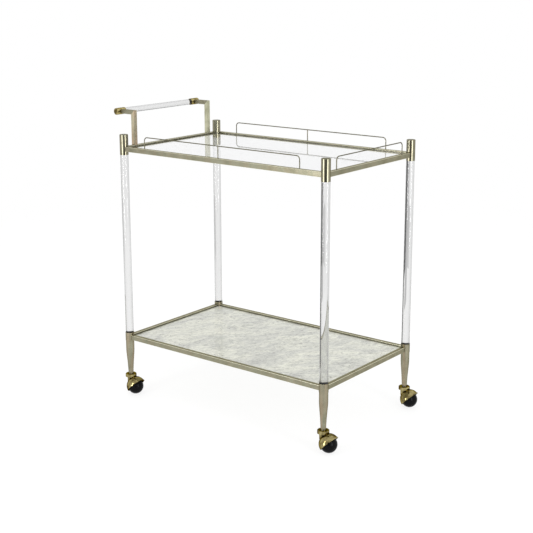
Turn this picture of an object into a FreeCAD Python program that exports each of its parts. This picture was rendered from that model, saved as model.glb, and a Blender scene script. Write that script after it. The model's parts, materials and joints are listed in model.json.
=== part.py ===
"""Bar cart on four hooded ball casters: two framed shelves between clear posts.

The frame's origin is on the floor under the middle of the whole cart.  X runs
along the cart, with the push handle at -X.  Y runs across it and Z is up.
"""
import FreeCAD, Part
import Sketcher
import os

Vector = FreeCAD.Vector
Rotation = FreeCAD.Rotation

# Driving dimensions in millimetres and degrees.
DIMENSIONS = {
    "spacing_x": 762.0,          # post centre to post centre, along the cart
    "spacing_y": 440.0,          # post centre to post centre, across the cart
    "sleeve_dia": 26.4,
    "sleeve_bottom": 779.5,      # heights above the floor
    "sleeve_top": 840.0,
    "cap_top": 842.5,
    "cap_plug": 8.0,
    "web_bottom": 22.4,          # above the sleeve's lower end
    "web_top": 28.4,
    "bolt_clearance": 0.2,
    "acrylic_dia": 25.4,
    "spigot_dia": 19.0,
    "spigot_len": 22.0,
    "socket_dia": 19.1,
    "socket_depth": 22.4,
    "bolt_dia": 6.0,
    "bolt_head_dia": 10.0,
    "bolt_head_rise": 6.0,
    "bolt_reach": 15.0,          # into the acrylic, from the web's underside
    "stud_dia": 8.0,
    "stud_reach": 14.0,          # into the foot and into the acrylic
    "tapped_depth": 16.0,
    "foot_top": 204.5,
    "foot_bottom": 66.5,
    "foot_collar_dia": 27.6,
    "foot_collar_len": 27.0,
    "foot_shank_dia": 26.4,
    "foot_shank_end": 87.0,      # above the foot's lower end
    "foot_shoulder": 67.5,
    "foot_shoulder_dia": 24.8,
    "foot_shoulder_curve": 240.0,
    "foot_waist": 43.0,
    "foot_waist_dia": 20.6,
    "foot_waist_curve": 800.0,
    "foot_end_dia": 15.8,
    "grip_bore_dia": 11.0,
    "grip_bore_depth": 42.0,
    "rail_width": 12.7,
    "rail_rise": 15.0,
    "rail_wall": 1.3,
    "rail_edge": 1.0,
    "top_rail_bottom": 790.0,
    "low_rail_bottom": 181.0,
    "ledge_width": 8.0,
    "ledge_thick": 1.5,
    "ledge_end_gap": 1.0,
    "pad_thick": 0.8,
    "pad_dia": 7.0,
    "glass_thick": 6.0,
    "glass_drop": 4.5,           # from the rails' tops down to the glass
    "stone_thick": 7.0,
    "stone_drop": 5.5,
    "panel_gap": 0.8,
    "panel_corner": 7.0,
    "panel_edge": 0.8,
    "wire_dia": 3.0,
    "wire_rise": 35.5,           # wire centre above the rail
    "wire_bend": 11.0,
    "side_wire_margin": 88.0,
    "end_wire_margin": 50.0,
    "handle_margin": 47.0,
    "handle_bar": 12.7,
    "handle_rise": 101.0,        # grip centre above the rail
    "handle_reach": 60.0,        # grip centre beyond the posts' centre line
    "grip_dia": 18.0,
    "ferrule_dia": 21.0,
    "ferrule_len": 36.0,
    "ferrule_bore_dia": 18.1,
    "ferrule_end": 3.0,
    "ferrule_edge": 1.0,
    "ball_dia": 50.0,
    "caster_trail": 19.5,
    "axle_tilt": 45.0,           # degrees from the vertical
    "hood_inner": 27.8,
    "hood_outer": 30.2,
    "hood_lip_outer": 30.9,
    "hood_inner_shift": 1.6,     # up the rim's plane: the hood is wider over the far side
    "hood_outer_shift": 2.0,
    "hood_lip_shift": 2.7,
    "hood_lip_rise": 1.8,
    "boss_dia": 35.0,
    "boss_top": 64.2,
    "boss_skirt": 54.5,
    "boss_neck_dia": 23.0,
    "boss_neck_top": 51.0,
    "boss_foot": 36.0,
    "boss_edge": 1.2,
    "stem_bore_dia": 8.1,
    "stem_bore_bottom": 52.0,
    "stem_dia": 8.0,
    "stem_end": 53.0,
    "stem_collar_dia": 15.8,
    "stem_collar_bottom": 64.7,
    "stem_reach": 38.0,          # into the foot
    "axle_dia": 6.0,
    "axle_bore_dia": 6.1,
    "axle_top": 29.0,            # along the axle from the ball's centre
    "axle_bottom": 7.5,
    "ball_bore_bottom": 8.5,
}

LEFT, RIGHT = -1, 1
FRONT, BACK = -1, 1
CORNERS = {
    "front_left": (LEFT, FRONT),
    "front_right": (RIGHT, FRONT),
    "back_left": (LEFT, BACK),
    "back_right": (RIGHT, BACK),
}

# The whole cart reaches from the handle's ferrules to the right casters' balls,
# so the posts' middle stands a little to the right of the frame's origin.
POSTS_MIDDLE = (
    "(dims.handle_reach + dims.ferrule_dia / 2 - dims.caster_trail - dims.ball_dia / 2) / 2"
)
TOP_RAIL_TOP = "(dims.top_rail_bottom + dims.rail_rise)"
LOW_RAIL_TOP = "(dims.low_rail_bottom + dims.rail_rise)"
GRIP_X = f"({POSTS_MIDDLE} - dims.spacing_x / 2 - dims.handle_reach)"
GRIP_Z = f"({TOP_RAIL_TOP} + dims.handle_rise)"

doc = FreeCAD.newDocument("bar_cart")
sheet = doc.addObject("Spreadsheet::Sheet", "dims")
nodes = []


def fill_sheet():
    """Write every driving dimension into its own named cell."""
    for row, (name, number) in enumerate(DIMENSIONS.items(), start=1):
        sheet.set(f"A{row}", name)
        sheet.set(f"B{row}", str(number))
        sheet.setAlias(f"B{row}", name)
    doc.recompute()


def value(expression):
    """The number that an expression over the sheet has now."""
    return float(sheet.evalExpression(expression))


def corner_x(side):
    return f"{POSTS_MIDDLE} + {side} * dims.spacing_x / 2"


def corner_y(side):
    return f"{side} * dims.spacing_y / 2"


def place(thing, x="0", y="0", z="0", rotation=None):
    """Bind a sub-part's place to the sheet, and turn it."""
    base = Vector(value(x), value(y), value(z))
    thing.Placement = FreeCAD.Placement(base, rotation or Rotation())
    for axis, expression in zip("xyz", (x, y, z)):
        thing.setExpression(f".Placement.Base.{axis}", expression)


def keep(thing, label):
    """Name a finished sub-part and put it on the list of nodes."""
    thing.Label = label
    nodes.append(thing)
    return thing


def new_body(name):
    return doc.addObject("PartDesign::Body", name)


def origin_plane(body, role):
    return next(item for item in body.Origin.OriginFeatures if item.Role == role)


def new_sketch(body, name, role):
    sketch = body.newObject("Sketcher::SketchObject", name)
    sketch.AttachmentSupport = [(origin_plane(body, role), "")]
    sketch.MapMode = "FlatFace"
    return sketch


def tilt_to_axle(sketch, shift="0"):
    """Move a sketch to the ball's centre, with its vertical along the axle.

    A shift moves it on from there, up the plane of the hood's rim.
    """
    tilt = Rotation(Vector(0, 0, 1), value("dims.axle_tilt"))
    across = f"dims.caster_trail + {shift} * cos(dims.axle_tilt)"
    up = f"dims.ball_dia / 2 + {shift} * sin(dims.axle_tilt)"
    sketch.AttachmentOffset = FreeCAD.Placement(Vector(value(across), value(up), 0), tilt)
    sketch.setExpression(".AttachmentOffset.Base.x", across)
    sketch.setExpression(".AttachmentOffset.Base.y", up)
    return sketch


def bind(sketch, kind, expression, *elements):
    """Add a dimension to a sketch and bind it to the sheet."""
    index = sketch.addConstraint(Sketcher.Constraint(kind, *elements, value(expression)))
    sketch.setExpression(f"Constraints[{index}]", expression)


def fix_point(sketch, geometry, end, x, y):
    """Hold one end of a segment at a place that the sheet gives."""
    for kind, expression, axis in (("DistanceX", x, -2), ("DistanceY", y, -1)):
        if expression == "0":
            sketch.addConstraint(Sketcher.Constraint("PointOnObject", geometry, end, axis))
        else:
            bind(sketch, kind, expression, -1, 1, geometry, end)


def arc_middle(start, end, radius):
    """Halfway point of the short arc that turns left, or right if radius is negative."""
    chord = end - start
    half = chord.Length / 2
    rise = abs(radius) - (radius * radius - half * half) ** 0.5
    left = Vector(-chord.y, chord.x, 0).normalize()
    side = 1 if radius > 0 else -1
    return (start + end) / 2 - left * side * rise


def draw(sketch, points, closed=True):
    """Draw an outline, or an open path, through points that the sheet gives.

    Each point is (x, y) or (x, y, radius), all expressions: the radius is that
    of the arc that leads to the point, and it is negative where it turns right.
    """
    places = [Vector(value(point[0]), value(point[1]), 0) for point in points]
    first = sketch.GeometryCount
    count = len(points)
    segments = count if closed else count - 1
    ends = []
    for index in range(segments):
        start, end = places[index], places[(index + 1) % count]
        target = points[(index + 1) % count]
        if len(target) == 3:
            radius = value(target[2])
            sketch.addGeometry(Part.Arc(start, arc_middle(start, end, radius), end), False)
            bind(sketch, "Radius", f"abs({target[2]})", first + index)
            # The sketch stores every arc anticlockwise.
            ends.append((1, 2) if radius > 0 else (2, 1))
        else:
            sketch.addGeometry(Part.LineSegment(start, end), False)
            ends.append((1, 2))
    for index in range(segments):
        fix_point(sketch, first + index, ends[index][0], *points[index][:2])
    if not closed:
        fix_point(sketch, first + segments - 1, ends[-1][1], *points[-1][:2])
    for index in range(segments if closed else segments - 1):
        after = (index + 1) % segments
        join = (first + index, ends[index][1], first + after, ends[after][0])
        sketch.addConstraint(Sketcher.Constraint("Coincident", *join))
    return sketch


def rectangle(sketch, left, right, low, high):
    return draw(sketch, [(left, low), (right, low), (right, high), (left, high)])


def circle(sketch, x, y, radius):
    """Add a circle to a sketch with a bound centre and radius."""
    centre = Vector(value(x), value(y), 0)
    sketch.addGeometry(Part.Circle(centre, Vector(0, 0, 1), value(radius)), False)
    index = sketch.GeometryCount - 1
    fix_point(sketch, index, 3, x, y)
    bind(sketch, "Radius", radius, index)
    return sketch


def revolve(body, sketch, kind="PartDesign::Revolution"):
    """Turn a sketch about its own vertical axis, as metal or as a cut."""
    feature = body.newObject(kind, f"{sketch.Name}_{kind[12:].lower()}")
    feature.Profile = sketch
    feature.ReferenceAxis = (sketch, ["V_Axis"])
    feature.Angle = 360
    return feature


def pad(body, sketch, length):
    feature = body.newObject("PartDesign::Pad", f"{sketch.Name}_pad")
    feature.Profile = sketch
    feature.Midplane = True
    feature.Length = value(length)
    feature.setExpression("Length", length)
    return feature


def cut_through(body, sketch):
    feature = body.newObject("PartDesign::Pocket", f"{sketch.Name}_pocket")
    feature.Profile = sketch
    feature.Type = "ThroughAll"
    feature.Midplane = True
    return feature


def round_edges(body, wanted, radius):
    """Fillet the edges of the body's last feature that the test picks out."""
    doc.recompute()
    base = body.Tip
    names = [f"Edge{n}" for n, edge in enumerate(base.Shape.Edges, start=1) if wanted(edge)]
    fillet = body.newObject("PartDesign::Fillet", f"{body.Name}_fillet")
    fillet.Base = (base, names)
    fillet.Radius = value(radius)
    fillet.setExpression("Radius", radius)
    return fillet


def turned(name, points):
    """A piece turned on a lathe: its outline is (radius, height) pairs."""
    body = new_body(name)
    revolve(body, draw(new_sketch(body, f"{name}_outline", "XZ_Plane"), points))
    return body


def group(label, pieces):
    """Identical small pieces that share one node."""
    compound = doc.addObject("Part::Compound", label)
    compound.Links = pieces
    return keep(compound, label)


# Posts -----------------------------------------------------------------------


def post_sleeve(corner, x, y):
    """Tube round the acrylic's top end, with a web inside for the bolt."""
    outer = "dims.sleeve_dia / 2"
    bore = "dims.socket_dia / 2"
    hole = "dims.bolt_dia / 2 + dims.bolt_clearance"
    length = "dims.sleeve_top - dims.sleeve_bottom"
    body = turned(f"{corner}_post_sleeve", [
        (bore, "0"), (outer, "0"), (outer, length), (bore, length),
        (bore, "dims.web_top"), (hole, "dims.web_top"),
        (hole, "dims.web_bottom"), (bore, "dims.web_bottom"),
    ])
    place(body, x, y, "dims.sleeve_bottom")
    return keep(body, f"{corner}_post_sleeve")


def post_cap(corner, x, y):
    """Disc that closes the sleeve, with a plug that presses into it."""
    outer = "dims.sleeve_dia / 2"
    plug = "dims.spigot_dia / 2"
    thick = "dims.cap_top - dims.sleeve_top"
    edge = "dims.ferrule_edge"
    body = turned(f"{corner}_post_cap", [
        ("0", "-dims.cap_plug"), (plug, "-dims.cap_plug"), (plug, "0"), (outer, "0"),
        (outer, f"{thick} - {edge}"), (f"{outer} - {edge}", thick), ("0", thick),
    ])
    place(body, x, y, "dims.sleeve_top")
    return keep(body, f"{corner}_post_cap")


def acrylic_post(corner, x, y):
    """Clear rod with a smaller spigot and a tapped hole at each end."""
    outer = "dims.acrylic_dia / 2"
    spigot = "dims.spigot_dia / 2"
    length = "(dims.sleeve_bottom - dims.foot_top)"
    top = f"{length} + dims.spigot_len"
    bottom = "-dims.spigot_len"
    stud = "dims.stud_dia / 2"
    bolt = "dims.bolt_dia / 2"
    body = turned(f"{corner}_acrylic_post", [
        (stud, bottom), (spigot, bottom), (spigot, "0"), (outer, "0"), (outer, length),
        (spigot, length), (spigot, top), (bolt, top), (bolt, f"{top} - dims.tapped_depth"),
        ("0", f"{top} - dims.tapped_depth"), ("0", f"{bottom} + dims.tapped_depth"),
        (stud, f"{bottom} + dims.tapped_depth"),
    ])
    place(body, x, y, "dims.foot_top")
    return keep(body, f"{corner}_acrylic_post")


def tapered_foot(corner, x, y):
    """Turned foot: socket collar, straight shank, curved taper, caster bore."""
    height = "(dims.foot_top - dims.foot_bottom)"
    collar = "dims.foot_collar_dia / 2"
    shank = "dims.foot_shank_dia / 2"
    socket = "dims.socket_dia / 2"
    socket_floor = f"{height} - dims.socket_depth"
    stud = "dims.stud_dia / 2"
    stud_floor = f"{socket_floor} - dims.stud_reach"
    grip = "dims.grip_bore_dia / 2"
    body = turned(f"{corner}_tapered_foot", [
        (grip, "0"), ("dims.foot_end_dia / 2", "0"),
        ("dims.foot_waist_dia / 2", "dims.foot_waist", "-dims.foot_waist_curve"),
        ("dims.foot_shoulder_dia / 2", "dims.foot_shoulder"),
        (shank, "dims.foot_shank_end", "dims.foot_shoulder_curve"),
        (shank, f"{height} - dims.foot_collar_len"),
        (collar, f"{height} - dims.foot_collar_len"), (collar, height), (socket, height),
        (socket, socket_floor), (stud, socket_floor), (stud, stud_floor), ("0", stud_floor),
        ("0", "dims.grip_bore_depth"), (grip, "dims.grip_bore_depth"),
    ])
    place(body, x, y, "dims.foot_bottom")
    return keep(body, f"{corner}_tapered_foot")


def top_bolt(corner, x, y):
    """Bolt on the sleeve's web that pulls the acrylic up into the sleeve."""
    shank = "dims.bolt_dia / 2"
    head = "dims.bolt_head_dia / 2"
    seat = "dims.web_top"
    tip = "dims.web_bottom - dims.bolt_reach"
    top = "dims.web_top + dims.bolt_head_rise"
    body = turned(f"{corner}_top_bolt", [
        ("0", tip), (shank, tip), (shank, seat), (head, seat), (head, top), ("0", top),
    ])
    place(body, x, y, "dims.sleeve_bottom")
    return body


def foot_stud(corner, x, y):
    """Headless stud from the foot into the acrylic."""
    radius = "dims.stud_dia / 2"
    low = "-dims.stud_reach"
    high = "dims.stud_reach"
    body = turned(f"{corner}_foot_stud", [
        ("0", low), (radius, low), (radius, high), ("0", high),
    ])
    place(body, x, y, "dims.foot_top - dims.socket_depth")
    return body


# Casters ---------------------------------------------------------------------


def grip_socket(corner, x, y):
    """Steel sleeve in the foot's bore that grips the caster's stem."""
    outer = "dims.grip_bore_dia / 2"
    inner = "dims.stem_dia / 2"
    top = "dims.grip_bore_depth"
    body = turned(f"{corner}_grip_socket", [
        (inner, "0"), (outer, "0"), (outer, top), (inner, top),
    ])
    place(body, x, y, "dims.foot_bottom")
    return body


def caster_stem(corner, x, y):
    """Fixed pin in the foot that the hood swivels on, with a thrust collar."""
    pin = "dims.stem_dia / 2"
    collar = "dims.stem_collar_dia / 2"
    top = "dims.foot_bottom + dims.stem_reach"
    body = turned(f"{corner}_caster_stem", [
        ("0", "dims.stem_end"), (pin, "dims.stem_end"), (pin, "dims.stem_collar_bottom"),
        (collar, "dims.stem_collar_bottom"), (collar, "dims.foot_bottom"),
        (pin, "dims.foot_bottom"), (pin, top), ("0", top),
    ])
    place(body, x, y)
    return keep(body, f"{corner}_caster_stem")


def caster_hood(corner, x, y):
    """Half shell round the ball, lipped at its rim, with the stem's boss on it."""
    name = f"{corner}_caster_hood"
    body = new_body(name)
    boss = "dims.boss_dia / 2"
    neck = "dims.boss_neck_dia / 2"
    edge = "dims.boss_edge"
    revolve(body, draw(new_sketch(body, f"{name}_boss", "XZ_Plane"), [
        ("0", "dims.boss_foot"), (neck, "dims.boss_foot"), (neck, "dims.boss_neck_top"),
        (boss, "dims.boss_skirt"),
        (boss, f"dims.boss_top - {edge}"), (f"{boss} - {edge}", "dims.boss_top"),
        ("0", "dims.boss_top"),
    ]))
    shell = tilt_to_axle(new_sketch(body, f"{name}_shell", "XZ_Plane"), "dims.hood_outer_shift")
    revolve(body, draw(shell, [
        ("0", "0"), ("dims.hood_outer", "0"), ("0", "dims.hood_outer", "dims.hood_outer"),
    ]))
    lip = tilt_to_axle(new_sketch(body, f"{name}_lip", "XZ_Plane"), "dims.hood_lip_shift")
    revolve(body, rectangle(lip, "0", "dims.hood_lip_outer", "0", "dims.hood_lip_rise"))
    hollow = tilt_to_axle(new_sketch(body, f"{name}_hollow", "XZ_Plane"), "dims.hood_inner_shift")
    revolve(body, draw(hollow, [
        ("0", "0"), ("dims.hood_inner", "0"), ("0", "dims.hood_inner", "dims.hood_inner"),
    ]), "PartDesign::Groove")
    stem_bore = new_sketch(body, f"{name}_stem_bore", "XZ_Plane")
    revolve(body, rectangle(
        stem_bore, "0", "dims.stem_bore_dia / 2", "dims.stem_bore_bottom", "dims.boss_top"
    ), "PartDesign::Groove")
    axle_bore = tilt_to_axle(new_sketch(body, f"{name}_axle_bore", "XZ_Plane"))
    revolve(body, rectangle(
        axle_bore, "0", "dims.axle_dia / 2", "0", "dims.axle_top"
    ), "PartDesign::Groove")
    place(body, x, y)
    return keep(body, name)


def caster_axle(corner, x, y):
    """Tilted pin pressed into the hood, which the ball turns on."""
    name = f"{corner}_caster_axle"
    body = new_body(name)
    sketch = tilt_to_axle(new_sketch(body, f"{name}_outline", "XZ_Plane"))
    revolve(body, rectangle(
        sketch, "0", "dims.axle_dia / 2", "-dims.axle_bottom", "dims.axle_top"
    ))
    place(body, x, y)
    return keep(body, name)


def caster_ball(corner, x, y):
    """Ball with a blind bore for the axle."""
    name = f"{corner}_caster_ball"
    body = new_body(name)
    sketch = tilt_to_axle(new_sketch(body, f"{name}_outline", "XZ_Plane"))
    radius = "dims.ball_dia / 2"
    bore = "dims.axle_bore_dia / 2"
    mouth = f"sqrt(({radius}) ^ 2 - ({bore}) ^ 2)"
    revolve(body, draw(sketch, [
        ("0", f"-{radius}"), (radius, "0", radius), (bore, mouth, radius),
        (bore, "-dims.ball_bore_bottom"), ("0", "-dims.ball_bore_bottom"),
    ]))
    place(body, x, y)
    return keep(body, name)


# Shelf frames ----------------------------------------------------------------


def rail(label, spacing, x, y, level, turn):
    """Square-edged tube between two posts, with a ledge inside for the shelf."""
    bottom, ledge_drop, post_dia = level
    half = "dims.rail_width / 2"
    wall = "dims.rail_wall"
    rise = "dims.rail_rise"
    body = new_body(label)
    section = new_sketch(body, f"{label}_section", "YZ_Plane")
    rectangle(section, f"-{half}", half, "0", rise)
    rectangle(section, f"-{half} + {wall}", f"{half} - {wall}", wall, f"{rise} - {wall}")
    pad(body, section, spacing)

    def is_long_corner(edge):
        box = edge.BoundBox
        across = abs(abs(box.Center.y) - value(half)) < 1e-6
        along = box.YLength < 1e-6 and box.ZLength < 1e-6
        return across and along

    round_edges(body, is_long_corner, "dims.rail_edge")
    ledge = new_sketch(body, f"{label}_ledge", "YZ_Plane")
    ledge_top = f"{rise} - {ledge_drop}"
    rectangle(ledge, half, f"{half} + dims.ledge_width",
              f"{ledge_top} - dims.ledge_thick", ledge_top)
    inset = "(dims.rail_width / 2 + dims.ledge_width + dims.ledge_end_gap)"
    pad(body, ledge, f"{spacing} - 2 * {inset}")
    cope = new_sketch(body, f"{label}_cope", "XY_Plane")
    for end in (-1, 1):
        circle(cope, f"{end} * {spacing} / 2", "0", f"{post_dia} / 2")
    cut_through(body, cope)
    place(body, x, y, bottom, Rotation(Vector(0, 0, 1), turn))
    return keep(body, label)


def frame_rails(name, level):
    """The four rails of one shelf, each with its ledge towards the middle."""
    along, across = "dims.spacing_x", "dims.spacing_y"
    rail(f"{name}_front_rail", along, POSTS_MIDDLE, corner_y(FRONT), level, 0)
    rail(f"{name}_back_rail", along, POSTS_MIDDLE, corner_y(BACK), level, 180)
    rail(f"{name}_left_rail", across, corner_x(LEFT), "0", level, -90)
    rail(f"{name}_right_rail", across, corner_x(RIGHT), "0", level, 90)


def shelf_panel(label, thick, top):
    """Flat panel that drops into a frame, its corners cut to clear the posts."""
    half_x = "(dims.spacing_x / 2 - dims.rail_width / 2 - dims.panel_gap)"
    half_y = "(dims.spacing_y / 2 - dims.rail_width / 2 - dims.panel_gap)"
    cut = "dims.panel_corner"
    body = new_body(label)
    plan = draw(new_sketch(body, f"{label}_plan", "XY_Plane"), [
        (f"-{half_x} + {cut}", f"-{half_y}"), (f"{half_x} - {cut}", f"-{half_y}"),
        (half_x, f"-{half_y} + {cut}"), (half_x, f"{half_y} - {cut}"),
        (f"{half_x} - {cut}", half_y), (f"-{half_x} + {cut}", half_y),
        (f"-{half_x}", f"{half_y} - {cut}"), (f"-{half_x}", f"-{half_y} + {cut}"),
    ])
    pad(body, plan, thick)
    doc.recompute()
    base = body.Tip
    edges = [
        f"Edge{n}" for n, edge in enumerate(base.Shape.Edges, start=1)
        if edge.BoundBox.ZLength < 1e-6
    ]
    bevel = body.newObject("PartDesign::Chamfer", f"{label}_polished_edge")
    bevel.Base = (base, edges)
    bevel.Size = value("dims.panel_edge")
    bevel.setExpression("Size", "dims.panel_edge")
    place(body, POSTS_MIDDLE, "0", f"{top} - {thick} / 2")
    return keep(body, label)


def shelf_pads(label, level):
    """Clear discs on the ledges, two to each rail, that the panel lies on."""
    bottom, ledge_drop, _ = level
    ledge_middle = "(dims.rail_width / 2 + dims.ledge_width / 2 + dims.panel_gap / 2)"
    height = f"{bottom} + dims.rail_rise - {ledge_drop}"
    pads = []
    for side in (-1, 1):
        for end in (-1, 1):
            along_x = f"{POSTS_MIDDLE} + {end} * dims.spacing_x / 3"
            beside_y = f"{side} * (dims.spacing_y / 2 - {ledge_middle})"
            beside_x = f"{POSTS_MIDDLE} + {side} * (dims.spacing_x / 2 - {ledge_middle})"
            along_y = f"{end} * dims.spacing_y / 4"
            for x, y in ((along_x, beside_y), (beside_x, along_y)):
                disc = doc.addObject("Part::Cylinder", f"{label}_disc_{len(pads) + 1}")
                disc.setExpression("Radius", "dims.pad_dia / 2")
                disc.setExpression("Height", "dims.pad_thick")
                place(disc, x, y, height)
                pads.append(disc)
    return group(label, pads)


# Gallery ---------------------------------------------------------------------


def gallery_wire(label, span, x, y, turn):
    """Bent wire that stands on a rail: two legs joined by a straight bar."""
    half = f"({span} / 2)"
    rise = "dims.wire_rise"
    bend = "dims.wire_bend"
    body = new_body(label)
    path = new_sketch(body, f"{label}_path", "XZ_Plane")
    points = [
        (f"-{half}", "0"), (f"-{half}", f"{rise} - {bend}"),
        (f"-{half} + {bend}", rise, f"-{bend}"), (f"{half} - {bend}", rise),
        (half, f"{rise} - {bend}", f"-{bend}"), (half, "0"),
    ]
    draw(path, points, closed=False)
    section = new_sketch(body, f"{label}_section", "XY_Plane")
    circle(section, f"-{half}", "0", "dims.wire_dia / 2")
    pipe = body.newObject("PartDesign::AdditivePipe", f"{label}_pipe")
    pipe.Profile = section
    pipe.Spine = path
    place(body, x, y, TOP_RAIL_TOP, Rotation(Vector(0, 0, 1), turn))
    return keep(body, label)


def gallery_strut(label, x, y):
    """Short upright wire under the middle of a gallery bar."""
    strut = doc.addObject("Part::Cylinder", label)
    strut.setExpression("Radius", "dims.wire_dia / 2")
    strut.setExpression("Height", "dims.wire_rise - dims.wire_dia / 2")
    place(strut, x, y, TOP_RAIL_TOP)
    return keep(strut, label)


def gallery():
    """Wires along the front, the back and the end away from the handle."""
    side_span = "(dims.spacing_x - 2 * dims.side_wire_margin)"
    end_span = "(dims.spacing_y - 2 * dims.end_wire_margin)"
    for name, side in (("front", FRONT), ("back", BACK)):
        gallery_wire(f"{name}_gallery_wire", side_span, POSTS_MIDDLE, corner_y(side), 0)
        gallery_strut(f"{name}_gallery_strut", POSTS_MIDDLE, corner_y(side))
    gallery_wire("end_gallery_wire", end_span, corner_x(RIGHT), "0", 90)


# Push handle -----------------------------------------------------------------


def handle_post(side_name, y):
    """Square upright on the left rail, mitred at its top."""
    half = "dims.handle_bar / 2"
    rise = "dims.handle_rise"
    label = f"{side_name}_handle_post"
    body = new_body(label)
    sketch = draw(new_sketch(body, f"{label}_outline", "XZ_Plane"), [
        (f"-{half}", "0"), (half, "0"), (half, f"{rise} + {half}"), (f"-{half}", f"{rise} - {half}"),
    ])
    pad(body, sketch, "dims.handle_bar")
    place(body, corner_x(LEFT), y, TOP_RAIL_TOP)
    return keep(body, label)


def handle_arm(side_name, y):
    """Square bar from the upright's mitre out to the ferrule that it holds."""
    half = "dims.handle_bar / 2"
    reach = "dims.handle_reach"
    label = f"{side_name}_handle_arm"
    body = new_body(label)
    sketch = draw(new_sketch(body, f"{label}_outline", "XZ_Plane"), [
        (f"-{reach}", f"-{half}"), (f"-{half}", f"-{half}"), (half, half), (f"-{reach}", half),
    ])
    pad(body, sketch, "dims.handle_bar")
    cope = circle(new_sketch(body, f"{label}_cope", "XZ_Plane"), f"-{reach}", "0",
                  "dims.ferrule_dia / 2")
    cut_through(body, cope)
    place(body, corner_x(LEFT), y, GRIP_Z)
    return keep(body, label)


def handle_ferrule(side_name, side, y):
    """Cup on the end of the grip, closed on its outer side."""
    outer = "dims.ferrule_dia / 2"
    bore = "dims.ferrule_bore_dia / 2"
    edge = "dims.ferrule_edge"
    low = "-dims.ferrule_len / 2"
    high = "dims.ferrule_len / 2"
    floor = f"{low} + dims.ferrule_end"
    body = turned(f"{side_name}_handle_ferrule", [
        ("0", low), (f"{outer} - {edge}", low), (outer, f"{low} + {edge}"), (outer, high),
        (bore, high), (bore, floor), ("0", floor),
    ])
    inwards = Rotation(Vector(1, 0, 0), 90 * side)
    place(body, GRIP_X, y, GRIP_Z, inwards)
    return keep(body, f"{side_name}_handle_ferrule")


def handle_grip():
    """Clear rod between the two ferrules."""
    length = (
        "dims.spacing_y - 2 * dims.handle_margin + dims.ferrule_len - 2 * dims.ferrule_end"
    )
    grip = doc.addObject("Part::Cylinder", "handle_grip")
    grip.setExpression("Radius", "dims.grip_dia / 2")
    grip.setExpression("Height", length)
    place(grip, GRIP_X, f"-({length}) / 2", GRIP_Z, Rotation(Vector(1, 0, 0), -90))
    return keep(grip, "handle_grip")


def push_handle():
    for side_name, side in (("front", FRONT), ("back", BACK)):
        y = f"{side} * (dims.spacing_y / 2 - dims.handle_margin)"
        handle_post(side_name, y)
        handle_arm(side_name, y)
        handle_ferrule(side_name, side, y)
    handle_grip()


# Whole cart ------------------------------------------------------------------


def corner_pieces():
    """Everything on each post's axis, from its cap down to its ball."""
    bolts, studs, sockets = [], [], []
    for corner, (side_x, side_y) in CORNERS.items():
        x, y = corner_x(side_x), corner_y(side_y)
        for make in (post_sleeve, post_cap, acrylic_post, tapered_foot, caster_stem,
                     caster_hood, caster_axle, caster_ball):
            make(corner, x, y)
        bolts.append(top_bolt(corner, x, y))
        studs.append(foot_stud(corner, x, y))
        sockets.append(grip_socket(corner, x, y))
    group("top_bolts", bolts)
    group("foot_studs", studs)
    group("caster_grip_sockets", sockets)


def build():
    # Each level: its rails' underside, how deep its ledges lie below the rails'
    # tops, and the diameter of the posts that the rails meet.
    top = ("dims.top_rail_bottom", "(dims.glass_drop + dims.glass_thick + dims.pad_thick)",
           "dims.sleeve_dia")
    low = ("dims.low_rail_bottom", "(dims.stone_drop + dims.stone_thick + dims.pad_thick)",
           "dims.foot_collar_dia")
    fill_sheet()
    corner_pieces()
    frame_rails("top", top)
    frame_rails("lower", low)
    shelf_panel("glass_top", "dims.glass_thick", f"{TOP_RAIL_TOP} - dims.glass_drop")
    shelf_panel("marble_shelf", "dims.stone_thick", f"{LOW_RAIL_TOP} - dims.stone_drop")
    shelf_pads("glass_pads", top)
    shelf_pads("marble_pads", low)
    gallery()
    push_handle()
    doc.recompute()


def check():
    """Stop before anything is written if an object or a sub-part has failed."""
    for item in doc.Objects:
        if "Invalid" in item.State or "Error" in item.State:
            raise RuntimeError(f"{item.Label} has failed: {item.State}")
    for node in nodes:
        if node.Shape.isNull() or not node.Shape.isValid():
            raise RuntimeError(f"{node.Label} has no valid shape")


def export():
    os.makedirs("parts", exist_ok=True)
    for node in nodes:
        node.Shape.exportStep(f"parts/{node.Label}.step")
    print(f"{len(nodes)} nodes written")


build()
check()
export()
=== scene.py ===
"""Looks of the bar cart: its materials, its small brazed details, the studio and the camera."""
import json
import math

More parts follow.
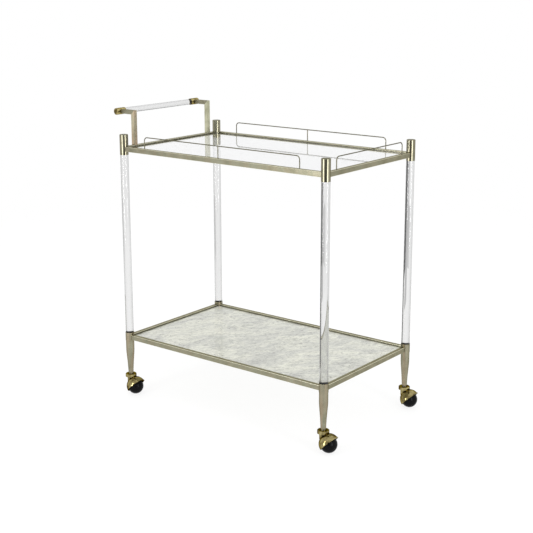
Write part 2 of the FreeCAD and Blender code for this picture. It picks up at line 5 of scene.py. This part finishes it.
import bmesh
import bpy
from mathutils import Euler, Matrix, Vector

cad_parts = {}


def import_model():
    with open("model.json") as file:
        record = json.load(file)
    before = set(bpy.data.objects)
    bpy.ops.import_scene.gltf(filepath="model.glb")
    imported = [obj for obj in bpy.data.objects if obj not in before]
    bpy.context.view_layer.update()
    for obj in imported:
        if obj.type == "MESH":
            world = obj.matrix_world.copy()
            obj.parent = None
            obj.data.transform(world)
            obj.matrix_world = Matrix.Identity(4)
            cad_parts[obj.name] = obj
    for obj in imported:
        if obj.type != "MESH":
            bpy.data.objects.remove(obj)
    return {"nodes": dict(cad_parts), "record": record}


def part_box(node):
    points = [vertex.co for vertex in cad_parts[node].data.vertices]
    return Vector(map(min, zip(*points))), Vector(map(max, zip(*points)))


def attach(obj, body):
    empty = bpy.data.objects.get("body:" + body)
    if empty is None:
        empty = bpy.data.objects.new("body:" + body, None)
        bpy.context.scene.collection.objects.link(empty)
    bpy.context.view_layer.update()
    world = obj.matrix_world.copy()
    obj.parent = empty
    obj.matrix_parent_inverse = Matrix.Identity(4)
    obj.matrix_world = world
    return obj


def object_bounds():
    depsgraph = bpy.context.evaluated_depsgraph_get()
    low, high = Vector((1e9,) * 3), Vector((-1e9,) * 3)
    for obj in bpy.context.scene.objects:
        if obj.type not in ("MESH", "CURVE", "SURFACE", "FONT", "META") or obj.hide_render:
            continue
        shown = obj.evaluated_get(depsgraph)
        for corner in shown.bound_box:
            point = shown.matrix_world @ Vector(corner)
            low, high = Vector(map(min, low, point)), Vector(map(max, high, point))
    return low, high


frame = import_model()
CAD_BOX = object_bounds()

CART = "cart_frame"
MM = 0.001


def scaled(colour, gain):
    return tuple(gain * part for part in colour)


# Node trees ------------------------------------------------------------------


class Finish:
    """A material under construction: short calls that add nodes and join them."""

    def __init__(self, name):
        self.material = bpy.data.materials.new(name)
        self.material.use_nodes = True
        self.tree = self.material.node_tree
        self.shader = self.tree.nodes["Principled BSDF"]

    def feed(self, socket, value):
        """Join an output to a socket, or set the socket's own value."""
        if isinstance(value, bpy.types.NodeSocket):
            self.tree.links.new(value, socket)
        else:
            socket.default_value = value

    def node(self, kind, settings=None, **inputs):
        made = self.tree.nodes.new(f"ShaderNode{kind}")
        for name, value in (settings or {}).items():
            setattr(made, name, value)
        for name, value in inputs.items():
            self.feed(made.inputs[name.replace("_", " ")], value)
        return made

    def shade(self, **inputs):
        """Set or join inputs of the Principled shader."""
        for name, value in inputs.items():
            self.feed(self.shader.inputs[name.replace("_", " ")], value)

    def place(self, scale=(1, 1, 1), turn=0.0):
        """Where a point is in the cart's frame, in metres, stretched and turned about Z."""
        where = self.node("TexCoord").outputs["Object"]
        turned = self.node("Mapping", Vector=where, Rotation=(0, 0, -turn)).outputs[0]
        return self.node("Mapping", Vector=turned, Scale=scale).outputs[0]

    def noise(self, where, scale, detail=3.0, roughness=0.5, distortion=0.0):
        made = self.node(
            "TexNoise", Vector=where, Scale=scale, Detail=detail, Roughness=roughness,
            Distortion=distortion,
        )
        return made.outputs["Fac"]

    def ramp(self, factor, *stops, gain=1.0):
        """A colour ramp: each stop is (position, colour), and gain brightens them all."""
        made = self.node("ValToRGB", Fac=factor)
        elements = made.color_ramp.elements
        while len(elements) < len(stops):
            elements.new(1.0)
        for element, (position, colour) in zip(elements, stops):
            element.position = position
            element.color = (*scaled(colour, gain), 1)
        return made.outputs["Color"]

    def span(self, factor, low, high, start=0.0, end=1.0):
        """Stretch a factor that runs from start to end so that it runs from low to high."""
        made = self.node("MapRange", Value=factor)
        for name, value in (("From Min", start), ("From Max", end), ("To Min", low), ("To Max", high)):
            made.inputs[name].default_value = value
        return made.outputs["Result"]

    def mix(self, factor, first, second, blend="MIX"):
        made = self.node("Mix", {"data_type": "RGBA", "blend_type": blend})
        for index, value in ((0, factor), (6, first), (7, second)):
            self.feed(made.inputs[index], value)
        return made.outputs[2]

    def maths(self, operation, first, second=0.0):
        made = self.node("Math", {"operation": operation})
        self.feed(made.inputs[0], first)
        self.feed(made.inputs[1], second)
        return made.outputs[0]

    def arris(self):
        """1 on a rounded edge, whose face looks along none of the axes, and 0 on a flat."""
        normal = self.node("NewGeometry").outputs["Normal"]
        size = self.node("VectorMath", {"operation": "ABSOLUTE"}, Vector=normal).outputs[0]
        x, y, z = self.node("SeparateXYZ", Vector=size).outputs
        widest = self.maths("MAXIMUM", self.maths("MAXIMUM", x, y), z)
        return self.span(widest, 0.0, 1.0, 0.995, 0.93)

    def painted_recess_shade(self, colour, reach, dark):
        """Painted shade: darken a colour where other metal, glass or stone is within this reach."""
        open_sky = self.node("AmbientOcclusion", {"samples": 8}, Distance=reach).outputs["AO"]
        return self.mix(self.span(open_sky, 1.0, 0.0, 0.35, 0.85), colour, dark)

    def bump(self, height, depth, strength=1.0):
        """Relief of this depth in metres."""
        made = self.node("Bump", Height=height, Distance=depth, Strength=strength)
        self.feed(self.shader.inputs["Normal"], made.outputs["Normal"])


# Materials -------------------------------------------------------------------


def antique_brass(name, grain, rough, relief, edge=0.56, worn=False, blush=0.2, brightness=1.0):
    """Antique brass plate under lacquer, worked along one axis, with a mottled patina.

    rough is the roughness of its brightest and dullest parts, and relief the depth
    of the working marks in metres.  edge is how bright it stays at grazing angles.
    worn brightens the rounded arrises of a square bar with a painted highlight.  blush is how far the
    plate turns rosy in its warmest patches, and brightness scales its colour.
    """
    finish = Finish(name)
    fine = [1400.0] * 3
    fine["xyz".index(grain)] = 9.0
    lines = finish.noise(finish.place(fine), 1.0, 2.0, 0.6)
    patina = finish.noise(finish.place(), 26.0, 5.0, 0.6, 0.4)
    colour = finish.ramp(
        patina,
        (0.25, (0.205, 0.202, 0.138)),
        (0.50, (0.290, 0.288, 0.210)),
        (0.78, (0.375, 0.370, 0.278)),
        gain=brightness,
    )
    streaks = finish.ramp(lines, (0.30, (0.84, 0.83, 0.80)), (0.70, (1.0, 1.0, 1.0)))
    drift = finish.noise(finish.place((90, 90, 9)), 1.0, 3.0)
    warmth = finish.span(drift, 0.0, blush, 0.36, 0.62)
    rosy = scaled((0.420, 0.310, 0.215), brightness)
    warmed = finish.mix(warmth, colour, (*rosy, 1))
    metal = finish.mix(1.0, warmed, streaks, "MULTIPLY")
    if worn:
        # Painted highlight: the rounded arrises are lightened towards pale brass.
        metal = finish.mix(finish.arris(), metal, (0.86, 0.84, 0.66, 1))
    bright, dull = rough
    # Painted shade: the brass darkens to olive black where other parts stand within 2.5 mm.
    finish.shade(
        Base_Color=finish.painted_recess_shade(metal, 2.5 * MM, (0.100, 0.096, 0.065, 1)),
        Metallic=1.0,
        Specular_Tint=(edge, edge * 0.97, edge * 0.78, 1),
        Roughness=finish.span(finish.mix(0.5, patina, lines), dull, bright),
    )
    finish.bump(lines, relief)
    return finish.material


def cast_brass(name, brightness=1.0):
    """Polished brass plate on a casting, darker in patches where it has aged."""
    finish = Finish(name)
    patina = finish.noise(finish.place(), 70.0, 4.0, 0.55, 0.3)
    ripple = finish.noise(finish.place(), 160.0, 2.0)
    colour = finish.ramp(
        patina,
        (0.28, (0.075, 0.058, 0.020)),
        (0.46, (0.235, 0.190, 0.082)),
        (0.60, (0.380, 0.325, 0.150)),
        (0.80, (0.540, 0.480, 0.260)),
        gain=brightness,
    )
    # Painted shade: the hood darkens to near black where the ball and other parts stand within 9 mm.
    finish.shade(
        Base_Color=finish.painted_recess_shade(colour, 9 * MM, (0.020, 0.016, 0.006, 1)),
        Metallic=1.0,
        Specular_Tint=(0.22, 0.19, 0.10, 1),
        Roughness=finish.span(patina, 0.14, 0.05),
    )
    finish.bump(ripple, 0.05 * MM)
    return finish.material


def plated_steel(name):
    """Zinc-plated steel with fine turning marks."""
    finish = Finish(name)
    marks = finish.noise(finish.place((300, 300, 2400)), 1.0, 2.0)
    finish.shade(
        Base_Color=finish.ramp(marks, (0.3, (0.42, 0.42, 0.41)), (0.7, (0.58, 0.58, 0.57))),
        Metallic=1.0,
        Roughness=finish.span(marks, 0.38, 0.26),
    )
    finish.bump(marks, 0.02 * MM)
    return finish.material


def cast_acrylic(name, low, high):
    """Clear cast rod, tinted grey towards its edges by viewing angle as painted shade: it drifts
    between two clearnesses along it.
    """
    finish = Finish(name)
    drift = finish.noise(finish.place((25, 25, 3)), 1.0, 2.0)
    # Painted shade: the rod greys towards (0.16, 0.165, 0.165) where it is seen edge-on.
    edge = finish.node("LayerWeight", Blend=0.5).outputs["Facing"]
    grazing_shade = finish.maths("POWER", edge, 1.25)
    clear = finish.ramp(drift, (0.3, (low, low, low)), (0.7, (high, high, high)))
    finish.shade(
        Base_Color=finish.mix(grazing_shade, clear, (0.16, 0.165, 0.165, 1)),
        Transmission_Weight=1.0,
        IOR=1.49,
        Roughness=finish.span(drift, 0.0, 0.03),
    )
    return finish.material


def float_glass(name):
    """Clear tempered glass: nearly colourless through its faces, sea green at its edges."""
    finish = Finish(name)
    normal = finish.node("NewGeometry").outputs["Normal"]
    upright = finish.node("SeparateXYZ", Vector=normal).outputs["Z"]
    face = finish.maths("GREATER_THAN", finish.maths("ABSOLUTE", upright), 0.8)
    drift = finish.noise(finish.place(), 5.0, 2.0)
    pane = finish.ramp(drift, (0.3, (0.875, 0.880, 0.890)), (0.7, (0.905, 0.910, 0.912)))
    finish.shade(
        Base_Color=finish.mix(face, (0.36, 0.56, 0.50, 1), pane),
        Transmission_Weight=1.0,
        IOR=1.50,
        Roughness=finish.span(drift, 0.0, 0.012),
    )
    return finish.material


def polished_marble(name):
    """Pale marble: cream ground, soft grey clouds, short dark flecks along its bedding."""
    finish = Finish(name)
    bedding = math.radians(55)
    along = finish.place((1.0, 1.7, 1.7), bedding)
    clouds = finish.noise(along, 8.0, 7.0, 0.68, 0.8)
    ground = finish.ramp(
        clouds,
        (0.34, (0.50, 0.505, 0.475)),
        (0.46, (0.61, 0.615, 0.565)),
        (0.56, (0.70, 0.705, 0.625)),
        (0.70, (0.78, 0.78, 0.69)),
    )
    flecks = finish.noise(finish.place((1.0, 2.2, 2.2), bedding), 42.0, 5.0, 0.74, 1.6)
    speckle = finish.ramp(
        flecks,
        (0.34, (0.42, 0.42, 0.40)),
        (0.45, (0.82, 0.82, 0.80)),
        (0.54, (1.0, 1.0, 0.98)),
        (0.72, (1.12, 1.12, 1.05)),
    )
    flecked = finish.mix(1.0, ground, speckle, "MULTIPLY")
    bend = finish.noise(along, 15.0, 6.0, 0.68, 1.8)
    distance = finish.maths("ABSOLUTE", finish.maths("SUBTRACT", bend, 0.5))
    vein = finish.span(distance, 1.0, 0.0, 0.0, 0.016)
    broken = finish.span(finish.noise(along, 21.0, 3.0), 0.0, 0.75, 0.46, 0.60)
    veined = finish.mix(finish.maths("MULTIPLY", vein, broken), flecked, (0.19, 0.19, 0.17, 1))
    # Painted shade: the marble darkens where the rails and other parts stand within 7 mm.
    finish.shade(
        Base_Color=finish.painted_recess_shade(veined, 7 * MM, (0.16, 0.155, 0.12, 1)),
        Roughness=finish.span(clouds, 0.06, 0.02),
        IOR=1.52,
    )
    return finish.material


def black_moulding(name):
    """Glossy black moulded ball, lightly scuffed by the floor."""
    finish = Finish(name)
    scuffs = finish.noise(finish.place((1, 1, 3)), 240.0, 4.0, 0.7)
    finish.shade(
        Base_Color=finish.ramp(scuffs, (0.40, (0.003, 0.003, 0.003)), (0.75, (0.010, 0.010, 0.011))),
        Roughness=finish.span(scuffs, 0.12, 0.30),
        Specular_IOR_Level=0.05,
    )
    finish.bump(scuffs, 0.02 * MM)
    return finish.material


def soft_vinyl(name):
    """Clear soft pad under a panel."""
    finish = Finish(name)
    cloud = finish.noise(finish.place(), 900.0, 2.0)
    finish.shade(
        Base_Color=finish.ramp(cloud, (0.3, (0.80, 0.81, 0.82)), (0.7, (0.90, 0.91, 0.92))),
        Transmission_Weight=0.7,
        Roughness=finish.span(cloud, 0.25, 0.40),
        IOR=1.5,
    )
    return finish.material


# The finish of each piece: most go by their slot, the grip and the brass by their name.
GRIP = cast_acrylic("cast_acrylic_grip", 0.93, 0.98)
BAR = {
    axis: antique_brass(f"antique_brass_bar_{axis}", axis, (0.22, 0.36), 0.02 * MM, worn=True)
    for axis in "xyz"
}
# Painted light and shade: the front upright is a darker copy of the same brass and the back one a
# brighter copy; the front one also turns rosy in patches.
HANDLE_BAR = {
    "front_post": antique_brass(
        "antique_brass_front_upright", "z", (0.36, 0.48), 0.01 * MM, blush=0.85, brightness=1.45
    ),
    "back_post": antique_brass(
        "antique_brass_back_upright", "z", (0.36, 0.48), 0.01 * MM, blush=0.0, brightness=1.75
    ),
    "arm": antique_brass("antique_brass_arm", "x", (0.36, 0.48), 0.01 * MM, brightness=0.9),
}
WIRE = antique_brass("antique_brass_wire", "z", (0.20, 0.35), 0.005 * MM, edge=0.35, brightness=0.6)
TURNED = antique_brass("antique_brass_turned", "z", (0.04, 0.10), 0.002 * MM, edge=0.40, brightness=0.9)
LACQUERED = cast_brass("lacquered_brass", 1.5)
SATIN = antique_brass("antique_brass_satin", "z", (0.20, 0.34), 0.01 * MM, edge=0.30, blush=0.5)
FINISHES = {
    "polished_brass": cast_brass("polished_brass_cast"),
    "steel": plated_steel("plated_steel"),
    "clear_acrylic": cast_acrylic("cast_acrylic_post", 0.78, 0.86),
    "clear_glass": float_glass("float_glass"),
    "marble": polished_marble("polished_marble"),
    "black_plastic": black_moulding("black_moulding"),
    "clear_vinyl": soft_vinyl("soft_vinyl"),
}


def grain_of(node):
    """The axis that a brass piece is brushed along: its longest one."""
    low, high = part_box(node)
    size = high - low
    return max("xyz", key=lambda axis: getattr(size, axis))


def brass_of(node):
    """Sleeves are bright, feet satin, ferrules lacquered, and bar is brushed along its length."""
    if node.endswith(("post_sleeve", "post_cap")):
        return TURNED
    if node.endswith("foot"):
        return SATIN
    if node.endswith(("wire", "strut")):
        return WIRE
    if node.endswith("handle_post"):
        return HANDLE_BAR[node.replace("_handle", "")]
    if node.endswith("handle_arm"):
        return HANDLE_BAR["arm"]
    if node.endswith("handle_ferrule"):
        return LACQUERED
    return BAR[grain_of(node)]


def finish_nodes():
    """Give each CAD node its finish."""
    for part in frame["record"]["subparts"]:
        name, slot = part["node"], part["material_slot"]
        material = brass_of(name) if slot == "antique_brass" else FINISHES[slot]
        if name == "handle_grip":
            material = GRIP
        mesh = frame["nodes"][name].data
        mesh.materials.clear()
        mesh.materials.append(material)


# Small details ---------------------------------------------------------------


def lathe(name, outline, centre, body, material):
    """A closed ring turned from (radius, height) points about an upright axis."""
    mesh = bpy.data.meshes.new(name)
    made = bmesh.new()
    segments = 40
    rings = []
    for step in range(segments):
        turn = 2 * math.pi * step / segments
        rings.append([
            made.verts.new((r * math.cos(turn), r * math.sin(turn), z)) for r, z in outline
        ])
    for ring, after in zip(rings, rings[1:] + rings[:1]):
        for low in range(len(outline)):
            high = (low + 1) % len(outline)
            made.faces.new((ring[low], after[low], after[high], ring[high]))
    bmesh.ops.recalc_face_normals(made, faces=made.faces)
    made.to_mesh(mesh)
    made.free()
    mesh.shade_smooth()
    mesh.materials.append(material)
    piece = bpy.data.objects.new(name, mesh)
    piece.location = centre
    bpy.context.scene.collection.objects.link(piece)
    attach(piece, body)


def braze_fillets():
    """The small flare of brass where each gallery wire stands on its rail."""
    wire = 1.5 * MM
    flare = 1.5 * MM
    steps = 6
    curve = [
        (wire + flare * (1 - math.sin(t)), flare * (1 - math.cos(t)))
        for t in (math.pi / 2 * step / steps for step in range(steps + 1))
    ]
    outline = [(wire * 0.8, 0.0)] + curve + [(wire * 0.8, flare)]
    feet = []
    for side in ("front", "back"):
        low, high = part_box(f"{side}_gallery_wire")
        y = (low.y + high.y) / 2
        strut_low, strut_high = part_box(f"{side}_gallery_strut")
        for name, x in (
            ("left", low.x + wire), ("middle", (strut_low.x + strut_high.x) / 2),
            ("right", high.x - wire),
        ):
            feet.append((f"{side}_{name}", (x, y, low.z)))
    low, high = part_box("end_gallery_wire")
    x = (low.x + high.x) / 2
    for name, y in (("front", low.y + wire), ("back", high.y - wire)):
        feet.append((f"end_{name}", (x, y, low.z)))
    for name, centre in feet:
        lathe(f"braze_{name}", outline, centre, CART, WIRE)


# Studio ----------------------------------------------------------------------

CENTRE = (CAD_BOX[0] + CAD_BOX[1]) / 2
VIEW_YAW = math.radians(128.04)       # the way that the camera looks, from +X
VIEW_PITCH = math.radians(-13.30)
VIEW_ROLL = math.radians(-0.11)
VIEW_LENS = 76.23                     # mm, on a sensor 36 mm wide
VIEW_SHIFT = -0.05
CAMERA_PLACE = (2.113, -2.677, 1.326)
FLOOR_RADIUS = 3.2


def from_camera(turn, distance, height):
    """A place round the cart: turn is in degrees from the camera's side, anticlockwise from above."""
    angle = VIEW_YAW + math.pi + math.radians(turn)
    return Vector((
        CENTRE.x + distance * math.cos(angle), CENTRE.y + distance * math.sin(angle), height
    ))


def camera():
    data = bpy.data.cameras.new("camera")
    data.sensor_width = 36.0
    data.lens = VIEW_LENS
    data.shift_y = VIEW_SHIFT
    eye = bpy.data.objects.new("camera", data)
    eye.location = CAMERA_PLACE
    eye.rotation_euler = Euler((math.pi / 2 + VIEW_PITCH, 0, VIEW_YAW - math.pi / 2), "XYZ")
    eye.rotation_euler.rotate_axis("Z", VIEW_ROLL)
    bpy.context.scene.collection.objects.link(eye)
    bpy.context.scene.camera = eye


def strip_light(name, turn, distance, width, height, power):
    """An upright soft light that faces the cart."""
    data = bpy.data.lights.new(name, "AREA")
    data.shape = "RECTANGLE"
    data.size = width
    data.size_y = height
    data.energy = power
    light = bpy.data.objects.new(name, data)
    light.location = from_camera(turn, distance, height / 2)
    aim = Vector((CENTRE.x, CENTRE.y, height / 2)) - light.location
    light.rotation_euler = aim.to_track_quat("-Z", "Y").to_euler()
    light.visible_camera = False
    bpy.context.scene.collection.objects.link(light)


def plane(name, corners, material):
    """One flat face that belongs to the set, not to the cart."""
    mesh = bpy.data.meshes.new(name)
    mesh.from_pydata(corners, [], [tuple(range(len(corners)))])
    mesh.materials.append(material)
    made = bpy.data.objects.new(name, mesh)
    bpy.context.scene.collection.objects.link(made)
    return made


def card(name, ends, heights, glow, seen_by):
    """A card beside the set, seen only by one kind of ray, which paints dark reflections into the brass
    and grey and dark bands into the clear pieces.

    ends are (turn, distance) of its two ends, and glow is how bright each end is.
    """
    first, last = (from_camera(turn, distance, heights[0]) for turn, distance in ends)
    along = last - first
    finish = Finish(name)
    reach = finish.node("VectorMath", {"operation": "DOT_PRODUCT"}, Vector=finish.place())
    reach.inputs[1].default_value = along
    finish.shade(
        Base_Color=(0.02, 0.02, 0.02, 1), Roughness=1.0, Emission_Color=(1, 1, 1, 1),
        Emission_Strength=finish.span(
            reach.outputs["Value"], *glow, first.dot(along), last.dot(along)
        ),
    )
    rise = Vector((0, 0, heights[1] - heights[0]))
    made = plane(name, [first, last, last + rise, first + rise], finish.material)
    for kind in ("camera", "diffuse", "glossy", "transmission", "shadow"):
        setattr(made, f"visible_{kind}", kind == seen_by)


def floor():
    """A pale round floor that fades into the backdrop at its rim."""
    finish = Finish("floor")
    away = finish.node("VectorMath", {"operation": "LENGTH"}, Vector=finish.place())
    fade = finish.span(away.outputs["Value"], 1.0, 0.0, FLOOR_RADIUS * 0.5, FLOOR_RADIUS * 0.98)
    finish.shade(
        Base_Color=(0.15, 0.15, 0.15, 1), Roughness=0.9, Alpha=fade,
        Emission_Color=(1, 1, 1, 1), Emission_Strength=0.83,
    )
    sides = 96
    turns = [2 * math.pi * step / sides for step in range(sides)]
    rim = [(FLOOR_RADIUS * math.cos(turn), FLOOR_RADIUS * math.sin(turn), 0) for turn in turns]
    plane("floor", rim, finish.material)


def world():
    """A white room."""
    room = bpy.data.worlds.new("room")
    room.use_nodes = True
    backdrop = room.node_tree.nodes["Background"].inputs
    backdrop["Color"].default_value = (1, 1, 1, 1)
    backdrop["Strength"].default_value = 1.0
    bpy.context.scene.world = room


def studio():
    """The room, the cards that paint reflections into the bright pieces and bands of shade into the
    clear ones, the lights and the camera.
    """
    bpy.context.scene.view_settings.view_transform = "Standard"
    world()
    floor()
    # Painted reflections and bands: each card is seen by one kind of ray only. They are black in the
    # brass, and glowing grey or black through the clear rods.
    card("camera_side_card", ((-13, 2.1), (13, 2.1)), (0.01, 1.05), (0, 0), "glossy")
    card("low_grey_card", ((171, 1.62), (150, 1.85)), (0.01, 0.30), (0.85, 0.50), "transmission")
    card("grey_card", ((147, 1.25), (130, 1.25)), (0.01, 2.0), (0.60, 0.45), "transmission")
    card("high_card", ((220, 1.4), (150, 1.4)), (1.42, 3.8), (0.05, 0.05), "transmission")
    card("low_black_card", ((99, 0.62), (80, 0.80)), (0.01, 0.40), (0.02, 0.02), "transmission")
    card("black_card", ((136, 1.9), (96, 1.9)), (0.01, 2.6), (0.02, 0.02), "transmission")
    strip_light("left_strip", -51, 2.4, 0.45, 2.0, 24.0)
    strip_light("right_strip", 38, 2.4, 0.45, 2.0, 24.0)
    camera()


finish_nodes()
braze_fillets()
studio()
